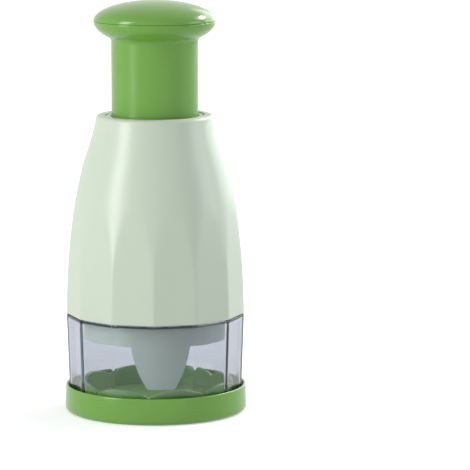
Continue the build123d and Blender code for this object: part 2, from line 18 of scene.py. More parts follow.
import bmesh
import bpy
from bpy.types import Material, Mesh, Node, NodeOutputs, NodeSocket, NodeTree, Object
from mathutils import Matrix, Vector

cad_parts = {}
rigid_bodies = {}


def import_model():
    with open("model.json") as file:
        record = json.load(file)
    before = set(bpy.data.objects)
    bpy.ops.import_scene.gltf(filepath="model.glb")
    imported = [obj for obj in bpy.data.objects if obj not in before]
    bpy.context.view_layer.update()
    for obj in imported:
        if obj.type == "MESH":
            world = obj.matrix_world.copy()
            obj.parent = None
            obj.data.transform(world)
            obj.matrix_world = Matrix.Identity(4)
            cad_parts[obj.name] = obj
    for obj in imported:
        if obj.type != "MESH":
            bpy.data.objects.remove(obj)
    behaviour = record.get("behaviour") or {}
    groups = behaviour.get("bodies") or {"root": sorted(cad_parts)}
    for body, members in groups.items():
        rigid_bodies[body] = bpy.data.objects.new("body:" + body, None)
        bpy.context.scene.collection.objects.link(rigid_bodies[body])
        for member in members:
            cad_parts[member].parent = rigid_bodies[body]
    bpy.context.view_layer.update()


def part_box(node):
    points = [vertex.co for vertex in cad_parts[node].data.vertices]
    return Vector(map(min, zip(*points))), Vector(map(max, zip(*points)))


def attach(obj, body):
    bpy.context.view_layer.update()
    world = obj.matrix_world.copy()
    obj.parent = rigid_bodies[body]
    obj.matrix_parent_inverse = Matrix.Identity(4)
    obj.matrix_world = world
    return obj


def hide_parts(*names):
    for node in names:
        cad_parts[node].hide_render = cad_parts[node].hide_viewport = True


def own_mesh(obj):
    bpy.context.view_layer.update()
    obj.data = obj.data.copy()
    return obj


LOG = logging.getLogger("food_chopper")
MM = 0.001

Point = tuple[float, float]
Colour = tuple[float, float, float]
WHITE = (1.0, 1.0, 1.0, 1.0)

FACETS = 13
RIDGE_TURN = -1.25
HALF_FACET = 180.0 / FACETS
FRONT = -90.0
# columns of a facet, as turns from its ridge: close at the ridge, wide at the middle
NEAR_RIDGE = (0.0, 0.35, 0.9, 1.8, 3.2, 5.0, 7.0, 9.2, 11.5)
# a radius below this, in metres or millimetres, counts as lying on the axis
ON_AXIS = 1e-6


# ---- small helpers


def cosd(angle: float) -> float:
    """Cosine of an angle in degrees."""
    return math.cos(math.radians(angle))


def sind(angle: float) -> float:
    """Sine of an angle in degrees."""
    return math.sin(math.radians(angle))


def tand(angle: float) -> float:
    """Tangent of an angle in degrees."""
    return math.tan(math.radians(angle))


def evenly(start: float, end: float, steps: int) -> list[float]:
    """Values from start to end in even steps, both included."""
    return [start + (end - start) * i / steps for i in range(steps + 1)]


@dataclass(frozen=True)
class Span:
    """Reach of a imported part: its radius about Z and its lowest and highest point."""

    radius: float
    bottom: float
    top: float

    @classmethod
    def of(cls, node: str) -> "Span":
        """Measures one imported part.

        Args:
            node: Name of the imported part.

        Returns:
            Its reach in millimetres.
        """
        low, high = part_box(node)
        return cls(high.x / MM, low.z / MM, high.z / MM)


@dataclass(frozen=True)
class Station:
    """One point of a turned profile.

    Attributes:
        radius: Distance from the axis.
        height: Height above the table.
        faceted: 1 where the many-sided rule shapes the wall, 0 where it stays round.
        set_in: How far the facets are moved towards the axis here.
    """

    radius: float
    height: float
    faceted: float = 0.0
    set_in: float = 0.0


RadiusRule = Callable[[Station, float], float]


def rounding(
    centre_radius: float,
    centre_height: float,
    size: float,
    start: float,
    end: float,
    steps: int = 5,
    rise: float | None = None,
) -> list[Point]:
    """Points of an arc in the profile's plane.

    Args:
        centre_radius: Distance of the arc's centre from the axis.
        centre_height: Height of the arc's centre.
        size: Radius of the arc.
        start: Angle of the first point, 0 pointing outwards and 90 up.
        end: Angle of the last point.
        steps: Number of straight steps.
        rise: The arc's half height, where it is part of an ellipse.

    Returns:
        The points as (radius, height), both ends included.
    """
    up = size if rise is None else rise
    turns = evenly(start, end, steps)
    return [(centre_radius + size * cosd(t), centre_height + up * sind(t)) for t in turns]


def plain(points: Iterable[Point]) -> list[Station]:
    """Profile points as round stations."""
    return [Station(radius, height) for radius, height in points]


def even_angles(count: int, start: float = 0.0) -> list[float]:
    """Angles of that many even steps round the axis."""
    return [start + 360.0 * i / count for i in range(count)]


def facet_angles() -> list[float]:
    """Angles round the foot, closer together at the ridges so that they stay crisp."""
    offsets = list(NEAR_RIDGE) + [2 * HALF_FACET - turn for turn in reversed(NEAR_RIDGE[1:])]
    return [ridge + offset for ridge in even_angles(FACETS, FRONT + RIDGE_TURN) for offset in offsets]


def turned_mesh(
    name: str,
    stations: Sequence[Station],
    angles: Sequence[float],
    rule: RadiusRule | None = None,
) -> Mesh:
    """Turns a profile about Z into a closed mesh.

    The profile runs out along the bottom, up the outside and back in. It either starts and
    ends on the axis or closes on itself.

    Args:
        name: Name of the mesh.
        stations: The profile's points.
        angles: Angles of the columns, in rising order.
        rule: Gives the radius of a station at an angle, where it isn't the same all round.

    Returns:
        The mesh, with the attributes "faceted" and "set_in" on its points.
    """
    columns = len(angles)
    points: list[tuple[float, float, float]] = []
    marks: list[tuple[float, float]] = []
    rows: list[list[int]] = []
    for station in stations:
        height = station.height * MM
        mark = (station.faceted, station.set_in)
        if station.radius < ON_AXIS:
            rows.append([len(points)] * columns)
            points.append((0.0, 0.0, height))
            marks.append(mark)
            continue
        rows.append(list(range(len(points), len(points) + columns)))
        for angle in angles:
            radius = rule(station, angle) if rule else station.radius
            points.append((radius * cosd(angle) * MM, radius * sind(angle) * MM, height))
            marks.append(mark)
    following = rows[1:] if stations[0].radius < ON_AXIS else rows[1:] + rows[:1]
    faces = []
    for lower, upper in zip(rows, following):
        for i in range(columns):
            k = (i + 1) % columns
            corners = dict.fromkeys((lower[i], lower[k], upper[k], upper[i]))
            if len(corners) > 2:
                faces.append(tuple(corners))
    mesh = bpy.data.meshes.new(name)
    mesh.from_pydata(points, [], faces)
    for index, label in enumerate(("faceted", "set_in")):
        attribute = mesh.attributes.new(label, "FLOAT", "POINT")
        attribute.data.foreach_set("value", [mark[index] for mark in marks])
    return mesh


def lofted(name: str, sections: Sequence[Sequence[tuple[float, float, float]]]) -> Mesh:
    """Makes a solid that runs through sections of the same number of points.

    Args:
        name: Name of the mesh.
        sections: The points of each section, in millimetres. The first and the last are closed.

    Returns:
        The mesh, with every face pointing outwards.
    """
    size = len(sections[0])
    last = size * (len(sections) - 1)
    faces = [tuple(reversed(range(size))), tuple(range(last, last + size))]
    for start in range(0, last, size):
        for k in range(size):
            n = (k + 1) % size
            faces.append((start + k, start + n, start + size + n, start + size + k))
    points = [tuple(c * MM for c in point) for section in sections for point in section]
    mesh = bpy.data.meshes.new(name)
    mesh.from_pydata(points, [], faces)
    clean(mesh)
    return mesh


def clean(mesh: Mesh, reach: float = 1e-7, outwards: bool = True) -> None:
    """Merges doubled points and points every face outwards.

    Args:
        mesh: The mesh.
        reach: Points closer than this, in metres, are one.
        outwards: Whether the faces are turned; otherwise they stay as they are.
    """
    work = bmesh.new()
    work.from_mesh(mesh)
    bmesh.ops.remove_doubles(work, verts=work.verts, dist=reach)
    if outwards:
        bmesh.ops.recalc_face_normals(work, faces=work.faces)
    work.to_mesh(mesh)
    work.free()


def smooth(mesh: Mesh, sharp_angle: float = 38.0) -> None:
    """Shades a mesh smooth, with edges sharper than that angle left crisp."""
    mesh.shade_smooth()
    mesh.set_sharp_from_angle(angle=math.radians(sharp_angle))


def place(mesh: Mesh, name: str) -> Object:
    """Puts a mesh in the scene as an object at the origin.

    Args:
        mesh: The mesh.
        name: Name of the object.

    Returns:
        The object.
    """
    piece = bpy.data.objects.new(name, mesh)
    bpy.context.scene.collection.objects.link(piece)
    return piece


def settled_mesh(worker: Object, name: str) -> Mesh:
    """Keeps what an object's modifiers make as a plain mesh, and removes the object.

    Args:
        worker: The object.
        name: Name of the mesh.

    Returns:
        The plain mesh.
    """
    bpy.context.view_layer.update()
    evaluated = worker.evaluated_get(bpy.context.evaluated_depsgraph_get())
    mesh = bpy.data.meshes.new_from_object(evaluated)
    mesh.name = name
    bpy.data.objects.remove(worker)
    return mesh


def turned_piece(
    name: str,
    stations: Sequence[Station],
    columns: int,
    rule: RadiusRule | None = None,
) -> Object:
    """Turns a profile into a round piece, shaded and in place.

    Args:
        name: Name of the piece.
        stations: The profile's points.
        columns: Number of points round the axis.
        rule: Gives the radius of a station at an angle, where it isn't the same all round.

    Returns:
        The piece.
    """
    mesh = turned_mesh(name, stations, even_angles(columns), rule)
    clean(mesh)
    smooth(mesh)
    return place(mesh, name)


def merged_copy(node: str, name: str, sharp_angle: float) -> Object:
    """A smooth-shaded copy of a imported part's mesh.

    Args:
        node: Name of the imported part.
        name: Name of the new piece.
        sharp_angle: Edges sharper than this stay crisp.

    Returns:
        The new piece.
    """
    mesh = bpy.data.objects[node].data.copy()
    mesh.name = name
    mesh.materials.clear()
    if "custom_normal" in mesh.attributes:
        mesh.attributes.remove(mesh.attributes["custom_normal"])
    clean(mesh, reach=1e-6, outwards=False)
    smooth(mesh, sharp_angle)
    return place(mesh, name)


def shifted(mesh: Mesh, x: float, z: float, upside_down: bool = False) -> Mesh:
    """Moves a mesh's points.

    Args:
        mesh: The mesh.
        x: Shift along +X.
        z: Shift along +Z.
        upside_down: Whether the mesh is first turned over about the X axis.

    Returns:
        The same mesh.
    """
    for vertex in mesh.vertices:
        if upside_down:
            vertex.co.y, vertex.co.z = -vertex.co.y, -vertex.co.z
        vertex.co += Vector((x * MM, 0.0, z * MM))
    mesh.update()
    return mesh


# ---- node trees


class Bench:
    """Adds nodes to one tree, wired as they are made."""

    def __init__(self, tree: NodeTree) -> None:
        """Keeps the tree to work on."""
        self.tree = tree

    def node(self, kind: str, inputs: dict | None = None, **settings: object) -> Node:
        """Adds a node.

        Args:
            kind: Blender's name for the node type.
            inputs: For each input, a value or the output socket that feeds it.
            **settings: The node's own properties.

        Returns:
            The new node.
        """
        made = self.tree.nodes.new(kind)
        for key, value in settings.items():
            setattr(made, key, value)
        self.feed(made, inputs or {})
        return made

    def feed(self, target: Node, inputs: dict) -> None:
        """Sets or wires a node's inputs.

        Args:
            target: The node.
            inputs: For each input, a value or the output socket that feeds it.
        """
        for key, value in inputs.items():
            if isinstance(value, NodeSocket):
                self.tree.links.new(value, target.inputs[key])
            else:
                target.inputs[key].default_value = value

    def math(self, operation: str, *values: object) -> NodeSocket:
        """Adds a Math node and returns its output."""
        return self.node("ShaderNodeMath", dict(enumerate(values)), operation=operation).outputs[0]

    def ranged(self, value: NodeSocket, source: Sequence[object], target: Sequence[object]) -> NodeSocket:
        """Adds a Map Range node.

        Args:
            value: The value that is mapped.
            source: Its two ends.
            target: What the ends become.

        Returns:
            The mapped value.
        """
        ends = zip(("From Min", "From Max", "To Min", "To Max"), (*source, *target))
        return self.node("ShaderNodeMapRange", {"Value": value, **dict(ends)}).outputs["Result"]

    # for materials

    def coordinates(self) -> NodeSocket:
        """Object coordinates, which follow the piece."""
        return self.node("ShaderNodeTexCoord").outputs["Object"]

    def noise(self, where: NodeSocket, scale: float, detail: float) -> NodeSocket:
        """Adds a Noise Texture, with its scale per metre, and returns its strength."""
        inputs = {"Vector": where, "Scale": scale, "Detail": detail}
        return self.node("ShaderNodeTexNoise", inputs).outputs["Fac"]

    def varied(self, pattern: NodeSocket, middle: float, spread: float) -> NodeSocket:
        """A value that a pattern moves by a spread either way."""
        return self.ranged(pattern, (0.0, 1.0), (middle - spread, middle + spread))

    def bump(self, pattern: NodeSocket, strength: float, depth: float) -> NodeSocket:
        """Normals tilted as by a relief of that depth."""
        inputs = {"Height": pattern, "Strength": strength, "Distance": depth * MM}
        return self.node("ShaderNodeBump", inputs).outputs["Normal"]

    # for Geometry Nodes

    def position(self) -> NodeOutputs:
        """X, Y and Z of the points that are worked on."""
        here = self.node("GeometryNodeInputPosition").outputs[0]
        return self.node("ShaderNodeSeparateXYZ", {0: here}).outputs

    def moved(self, geometry: NodeSocket, *place_of: object) -> NodeSocket:
        """Moves a geometry's points to the given X, Y and Z and returns it."""
        there = self.node("ShaderNodeCombineXYZ", dict(enumerate(place_of))).outputs[0]
        return self.node("GeometryNodeSetPosition", {"Geometry": geometry, "Position": there}).outputs[0]

    def close(self, geometry: NodeSocket, material: NodeSocket) -> None:
        """Ends the tree with real geometry that carries its material.

        Args:
            geometry: What the tree has made.
            material: Its material.
        """
        real = self.node("GeometryNodeRealizeInstances", {0: geometry}).outputs[0]
        dressed = self.node("GeometryNodeSetMaterial", {"Geometry": real, "Material": material})
        self.node("NodeGroupOutput", {0: dressed.outputs[0]})


def geometry_bench(name: str, numbers: Sequence[str]) -> tuple[Bench, NodeOutputs]:
    """Starts a Geometry Nodes tree with named inputs and a material.

    Args:
        name: Name of the tree.
        numbers: Names of its number inputs.

    Returns:
        A bench to build it on, and the outputs that carry its inputs.
    """
    tree = bpy.data.node_groups.new(name, "GeometryNodeTree")
    kinds = [("Geometry", "Geometry"), *((number, "Float") for number in numbers), ("Material", "Material")]
    for label, kind in kinds:
        tree.interface.new_socket(label, in_out="INPUT", socket_type=f"NodeSocket{kind}")
    tree.interface.new_socket("Geometry", in_out="OUTPUT", socket_type="NodeSocketGeometry")
    bench = Bench(tree)
    return bench, bench.node("NodeGroupInput").outputs


def run_tree(
    mesh: Mesh,
    tree: NodeTree,
    values: dict[str, object],
    name: str,
) -> Mesh:
    """Runs a Geometry Nodes tree on a mesh and keeps the result as a plain mesh.

    Args:
        mesh: Mesh to start from.
        tree: The tree.
        values: A value for each named input.
        name: Name of the result.

    Returns:
        The plain mesh.
    """
    worker = place(mesh, f"{name}_worker")
    modifier = worker.modifiers.new("rule", "NODES")
    modifier.node_group = tree
    for item in tree.interface.items_tree:
        if item.item_type == "SOCKET" and item.in_out == "INPUT" and item.name in values:
            modifier[item.identifier] = values[item.name]
    return settled_mesh(worker, name)


def ring_tree() -> NodeTree:
    """A Geometry Nodes tree that repeats the given mesh round the Z axis."""
    bench, source = geometry_bench("ring of repeats", ["Count", "First Angle"])
    points = bench.node("GeometryNodePoints", {"Count": source["Count"]})
    index = bench.node("GeometryNodeInputIndex").outputs[0]
    step = bench.math("DIVIDE", math.tau, source["Count"])
    angle = bench.math("MULTIPLY_ADD", index, step, source["First Angle"])
    turn = bench.node("ShaderNodeCombineXYZ", {2: angle})
    copies = bench.node(
        "GeometryNodeInstanceOnPoints",
        {"Points": points.outputs[0], "Instance": source["Geometry"], "Rotation": turn.outputs[0]},
    )
    bench.close(copies.outputs[0], source["Material"])
    return bench.tree


def repeated_piece(
    name: str,
    mesh: Mesh,
    count: int,
    first: float,
    material: Material,
    sharp_angle: float,
) -> Object:
    """Repeats a mesh round the Z axis, as one piece.

    Args:
        name: Name of the piece.
        mesh: The mesh, as it would stand at angle 0.
        count: Number of repeats.
        first: Angle of the first one.
        material: Their material.
        sharp_angle: Edges sharper than this stay crisp.

    Returns:
        The piece.
    """
    values = {"Count": float(count), "First Angle": math.radians(first), "Material": material}
    ring = run_tree(mesh, ring_tree(), values, name)
    smooth(ring, sharp_angle)
    return place(ring, name)


# ---- finishes


def new_material(name: str) -> tuple[Material, Bench, Node]:
    """Starts a material.

    Args:
        name: Name of the material.

    Returns:
        The material, a bench for its nodes and its Principled shader.
    """
    material = bpy.data.materials.new(name)
    material.use_nodes = True
    bench = Bench(material.node_tree)
    return material, bench, material.node_tree.nodes["Principled BSDF"]


@dataclass(frozen=True)
class MouldedPlastic:
    """Moulded plastic: an even colour with a faint cloud in it and a fine mould texture.

    Attributes:
        name: Name of the material.
        colour: Its colour.
        roughness: Its roughness, and smear is how far that varies either way.
        cloud: Share by which the colour varies either way.
        grain_strength: Strength of the mould texture, and grain_depth its depth.
        cloud_scale: Scale of the cloud, per metre, as smear_scale and grain_scale are of theirs.
    """

    name: str
    colour: Colour
    roughness: float
    cloud: float = 0.035
    cloud_scale: float = 55.0
    smear: float = 0.03
    smear_scale: float = 140.0
    grain_scale: float = 2600.0
    grain_strength: float = 0.12
    grain_depth: float = 0.01
    ior: float = 1.49

    def material(self) -> Material:
        """Builds the material."""
        material, bench, shader = new_material(self.name)
        where = bench.coordinates()
        deep = tuple(c * (1 - self.cloud) for c in self.colour)
        pale = tuple(min(1.0, c * (1 + self.cloud)) for c in self.colour)
        # 6 and 7 are the Mix node's colour inputs, and 2 is its colour output
        shades = {"Factor": bench.noise(where, self.cloud_scale, 3.0), 6: (*deep, 1.0), 7: (*pale, 1.0)}
        tint = bench.node("ShaderNodeMix", shades, data_type="RGBA").outputs[2]
        gloss = bench.varied(bench.noise(where, self.smear_scale, 2.0), self.roughness, self.smear)
        grain = bench.bump(bench.noise(where, self.grain_scale, 1.0), self.grain_strength, self.grain_depth)
        bench.feed(shader, {"Base Color": tint, "Roughness": gloss, "Normal": grain, "IOR": self.ior})
        return material


@dataclass(frozen=True)
class ClearPlastic:
    """Clear moulded plastic, tinted in its depth, that lets the lamps through.

    Attributes:
        name: Name of the material.
        tint: What the surface lets through.
        depth_tint: Colour that the light takes on in the plastic.
        density: How quickly it does so, per metre.
        shade: What each surface lets through of the lamps' light.
        roughness: Roughness of the surface.
        flow_strength: Strength of the moulding's faint waves, and flow_depth their depth.
    """

    name: str
    tint: Colour
    depth_tint: Colour = (0.265, 0.375, 0.48)
    density: float = 110.0
    shade: Colour = (0.78, 0.79, 0.83)
    roughness: float = 0.02
    flow_scale: float = 70.0
    flow_strength: float = 0.15
    flow_depth: float = 0.05
    ior: float = 1.5

    def material(self) -> Material:
        """Builds the material."""
        material, bench, shader = new_material(self.name)
        flow = bench.noise(bench.coordinates(), self.flow_scale, 1.0)
        surface = {
            "Base Color": (*self.tint, 1.0),
            "Roughness": self.roughness,
            "Normal": bench.bump(flow, self.flow_strength, self.flow_depth),
            "IOR": self.ior,
            "Transmission Weight": 1.0,
        }
        bench.feed(shader, surface)
        through = bench.node("ShaderNodeBsdfTransparent", {"Color": (*self.shade, 1.0)}).outputs["BSDF"]
        shadow = bench.node("ShaderNodeLightPath").outputs["Is Shadow Ray"]
        mix = bench.node("ShaderNodeMixShader", {0: shadow, 1: shader.outputs["BSDF"], 2: through})
        inside = {"Color": (*self.depth_tint, 1.0), "Density": self.density}
        depth = bench.node("ShaderNodeVolumeAbsorption", inside).outputs["Volume"]
        bench.feed(bench.tree.nodes["Material Output"], {"Surface": mix.outputs["Shader"], "Volume": depth})
        return material


@dataclass(frozen=True)
class WorkedMetal:
    """Metal with fine lines left by grinding or drawing.

    Attributes:
        name: Name of the material.
        colour: Its colour.
        roughness: Its roughness, and spread is how far that varies either way.
        line_scale: How many lines there are per metre along X, Y and Z.
        line_strength: Strength of the lines' relief, and line_depth its depth.
    """

    name: str
    colour: Colour
    roughness: float
    line_scale: tuple[float, float, float] = (900.0, 900.0, 60.0)
    spread: float = 0.08
    line_strength: float = 0.3
    line_depth: float = 0.002

    def material(self) -> Material:
        """Builds the material."""
        material, bench, shader = new_material(self.name)
        stretched = bench.node("ShaderNodeMapping", {"Vector": bench.coordinates(), "Scale": self.line_scale})
        lines = bench.noise(stretched.outputs["Vector"], 1.0, 4.0)
        surface = {
            "Base Color": (*self.colour, 1.0),
            "Metallic": 1.0,
            "Roughness": bench.varied(lines, self.roughness, self.spread),
            "Normal": bench.bump(lines, self.line_strength, self.line_depth),
        }
        bench.feed(shader, surface)
        return material


class Finish(Enum):
    """The part's finishes, each with the name of its slot in the record."""

    GREEN = "green_plastic"
    MINT = "mint_plastic"
    CLEAR = "clear_plastic"
    NYLON = "white_nylon"
    BLADE = "blade_steel"
    SPRING = "spring_steel"
    SCREW = "screw_steel"


RECIPES = {
    Finish.GREEN: MouldedPlastic("green plastic", (0.15, 0.345, 0.05), 0.2),
    Finish.MINT: MouldedPlastic("mint plastic", (0.54, 0.62, 0.5), 0.31, cloud=0.015),
    Finish.CLEAR: ClearPlastic("clear plastic", (0.85, 0.86, 0.9)),
    Finish.NYLON: MouldedPlastic("white nylon", (0.76, 0.77, 0.75), 0.5, cloud=0.01),
    Finish.BLADE: WorkedMetal("blade steel", (0.62, 0.63, 0.64), 0.26),
    Finish.SPRING: WorkedMetal("spring steel", (0.5, 0.5, 0.5), 0.32, (300.0, 300.0, 300.0)),
    Finish.SCREW: WorkedMetal("screw steel", (0.68, 0.68, 0.68), 0.24, (400.0, 400.0, 400.0)),
}


class Wardrobe:
    """Gives pieces their finish, and makes each material once."""

    def __init__(self) -> None:
        """Starts with no material made."""
        self.made: dict[Finish, Material] = {}

    def material(self, finish: Finish) -> Material:
        """The material of a finish, made when it is first asked for.

        Args:
            finish: The finish.

        Returns:
            The material.
        """
        if finish not in self.made:
            self.made[finish] = RECIPES[finish].material()
        return self.made[finish]

    def dress(self, piece: Object, finish: Finish, body: str, *nodes: str) -> Object:
        """Finishes a piece and ties it to the frame.

        Args:
            piece: The piece.
            finish: Its finish.
            body: Body of the frame that it moves with.
            *nodes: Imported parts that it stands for.

        Returns:
            The same piece.
        """
        piece.data.materials.clear()
        piece.data.materials.append(self.material(finish))
        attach(piece, body)
        if nodes:
            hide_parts(*nodes)
        LOG.info("%s: %d faces, %s, on %s", piece.name, len(piece.data.polygons), finish.value, body)
        return piece


@dataclass(frozen=True)
class Likeness:
    """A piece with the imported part's own shape, smooth-shaded and finished."""

    node: str
    name: str
    finish: Finish
    sharp_angle: float = 30.0

    def build(self, wardrobe: Wardrobe, body: str) -> None:
        """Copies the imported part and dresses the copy, which moves with that body."""
        piece = merged_copy(self.node, self.name, self.sharp_angle)
        wardrobe.dress(piece, self.finish, body, self.node)


# ---- the many-sided foot


@dataclass(frozen=True)
class FacetRule:
    """The rule that the housing's and the cup's many-sided walls follow.

    The flat of each facet stands at an apothem that falls with height as a parabola. The
    wall follows whichever is nearer the axis, the turned profile or the flat, and the two
    blend over a short softness.
    """

    seam_height: float
    apothem: float
    lean: float
    bow: float
    softness: float = 0.3

    def tree(self) -> NodeTree:
        """Builds the Geometry Nodes tree, which works on any turned mesh with its marks."""
        numbers = ["Facets", "Ridge Angle", "Seam Height", "Apothem", "Lean", "Bow", "Softness"]
        bench, source = geometry_bench("many-sided wall", numbers)
        times, over, less = (partial(bench.math, name) for name in ("MULTIPLY", "DIVIDE", "SUBTRACT"))
        x, y, z = bench.position()
        radius = bench.math("SQRT", bench.math("ADD", times(x, x), times(y, y)))
        faceted, set_in = (
            bench.node("GeometryNodeInputNamedAttribute", {"Name": label}, data_type="FLOAT").outputs[0]
            for label in ("faceted", "set_in")
        )

        # angle from the middle of the nearest facet
        width = over(math.tau, source["Facets"])
        from_ridge = less(bench.math("ARCTAN2", y, x), source["Ridge Angle"])
        share = bench.math("FRACT", over(from_ridge, width))
        off_middle = times(less(share, 0.5), width)

        # apothem of the flat at this height
        up = less(z, source["Seam Height"])
        fall = times(up, bench.math("MULTIPLY_ADD", source["Bow"], up, source["Lean"]))
        flat = less(less(source["Apothem"], fall), set_in)
        facet_radius = over(flat, bench.math("COSINE", off_middle))

        # the wall, moved in or out along its own radius
        shaped = bench.math("SMOOTH_MIN", radius, facet_radius, source["Softness"])
        change = times(less(shaped, radius), faceted)
        scale = over(bench.math("ADD", radius, change), bench.math("MAXIMUM", radius, ON_AXIS))
        wall = bench.moved(source["Geometry"], times(x, scale), times(y, scale), z)
        bench.close(wall, source["Material"])
        return bench.tree

    def values(self, material: Material) -> dict[str, object]:
        """The tree's inputs for this rule, in metres and radians.

        Args:
            material: Material of the wall.

        Returns:
            A value for each input's name.
        """
        return {
            "Facets": float(FACETS),
            "Ridge Angle": math.radians(FRONT + RIDGE_TURN),
            "Seam Height": self.seam_height * MM,
            "Apothem": self.apothem * MM,
            "Lean": self.lean,
            "Bow": self.bow / MM,
            "Softness": self.softness * MM,
            "Material": material,
        }

    def shape(self, name: str, stations: Sequence[Station], material: Material) -> Object:
        """Turns a profile and gives its marked walls their facets.

        Args:
            name: Name of the piece.
            stations: The profile, with the stations' marks in millimetres.
            material: Material of the wall.

        Returns:
            The finished piece.
        """
        metre_marks = [Station(s.radius, s.height, s.faceted, s.set_in * MM) for s in stations]
        blank = turned_mesh(f"{name}_blank", metre_marks, facet_angles())
        mesh = run_tree(blank, self.tree(), self.values(material), name)
        clean(mesh)
        smooth(mesh)
        return place(mesh, name)


# ---- base


@dataclass
class Base:
    """The green base: dish with an upright rim, and the ring of arched tabs inside it."""

    wardrobe: Wardrobe
    span: Span = field(default_factory=lambda: Span.of("base_cap"))
    columns: int = 288
    rim_height: float = 10.1
    rim_lean: float = 0.3
    rim_wall: float = 0.9
    lip_share: float = 0.48
    # last point of the rim's wall before its lip, as (way out, way down)
    lip_start: Point = (0.02, 0.3)
    floor_top: float = 4.6
    floor_ring: float = 12.0
    # the recess's edge and the foot ring's inside, as (way out from the ring's radius, height)
    foot_inside: tuple[Point, ...] = ((-0.7, 2.4), (-0.4, 2.1), (-0.1, 0.25), (0.1, 0.0))
    foot_width: float = 1.6
    foot_flat_end: float = 0.2
    edge_rounding: float = 1.8
    inner_corner: float = 0.6
    corner_lead: float = 0.2
    tab_count: int = 8
    tab_turn: float = 5.5
    tab_wall: float = 1.6
    tab_radius: float = 28.2
    tab_top: float = 12.0
    tab_valley: float = 8.5
    tab_rounding: float = 0.35
    tab_sunk: float = 0.1
    tab_columns: int = 44

    def build(self) -> None:
        """Builds and dresses the base."""
        dish = turned_piece("base_dish", self.dish_profile(), self.columns)
        self.wardrobe.dress(dish, Finish.GREEN, "base", "base_cap")
        green = self.wardrobe.material(Finish.GREEN)
        first = 90.0 - self.tab_turn + 180.0 / self.tab_count
        tabs = repeated_piece("base_tabs", self.tab_mesh(), self.tab_count, first, green, 50.0)
        self.wardrobe.dress(tabs, Finish.GREEN, "base")

    def dish_profile(self) -> list[Station]:
        """Profile of the dish, from the middle of its underside to the middle of its floor."""
        floor, corner = self.floor_top, self.inner_corner
        foot_outer = self.span.radius - self.edge_rounding
        foot_inner = foot_outer - self.foot_width
        rim_outer = self.span.radius - self.rim_lean
        rim_inner = rim_outer - self.rim_wall
        lip = self.rim_wall * self.lip_share
        lip_height = self.rim_height - lip
        points = [(0.0, self.foot_inside[0][1])]
        points += [(foot_inner + out, height) for out, height in self.foot_inside]
        points += [(foot_outer - self.foot_flat_end, 0.0)]
        points += rounding(foot_outer, self.edge_rounding, self.edge_rounding, -90, 0, 10)
        points += [(rim_outer + self.lip_start[0], lip_height - self.lip_start[1])]
        points += rounding(rim_outer - lip, lip_height, lip, 0, 90)
        points += rounding(rim_inner + lip, lip_height, lip, 90, 180)
        points += [(rim_inner, floor + corner + self.corner_lead)]
        points += rounding(rim_inner - corner, floor + corner, corner, 0, -90)
        points += [(radius, floor) for radius in (self.tab_radius, self.tab_radius - self.tab_wall)]
        points += [(self.floor_ring, floor), (0.0, floor)]
        return plain(points)

    def tab_height(self, from_notch: float) -> float:
        """Height of a tab's top.

        Args:
            from_notch: Angle from the nearest notch.

        Returns:
            The height above the table.
        """
        width = self.tab_radius * tand(180.0 / self.tab_count)
        across = min(1.0, abs(self.tab_radius * sind(from_notch)) / width)
        return self.tab_valley + (self.tab_top - self.tab_valley) * math.sqrt(1 - (1 - across) ** 2)

    def tab_mesh(self) -> Mesh:
        """One tab, from notch to notch, with its top edges rounded."""
        half = 180.0 / self.tab_count
        outer, inner = self.tab_radius, self.tab_radius - self.tab_wall
        soft = self.tab_rounding
        foot = self.floor_top - self.tab_sunk
        sections = []
        for turn in evenly(0.0, 180.0, self.tab_columns):
            # columns gather at the notches, where the arch is steepest
            angle = half * (1 - cosd(turn)) - half
            top = self.tab_height(half - abs(angle))
            line = [(inner, foot), (outer, foot)]
            line += rounding(outer - soft, top - soft, soft, 0, 90, 4)
            line += rounding(inner + soft, top - soft, soft, 90, 180, 4)
            sections.append([(radius * cosd(angle), radius * sind(angle), height) for radius, height in line])
        return lofted("tab", sections)


# ---- cup


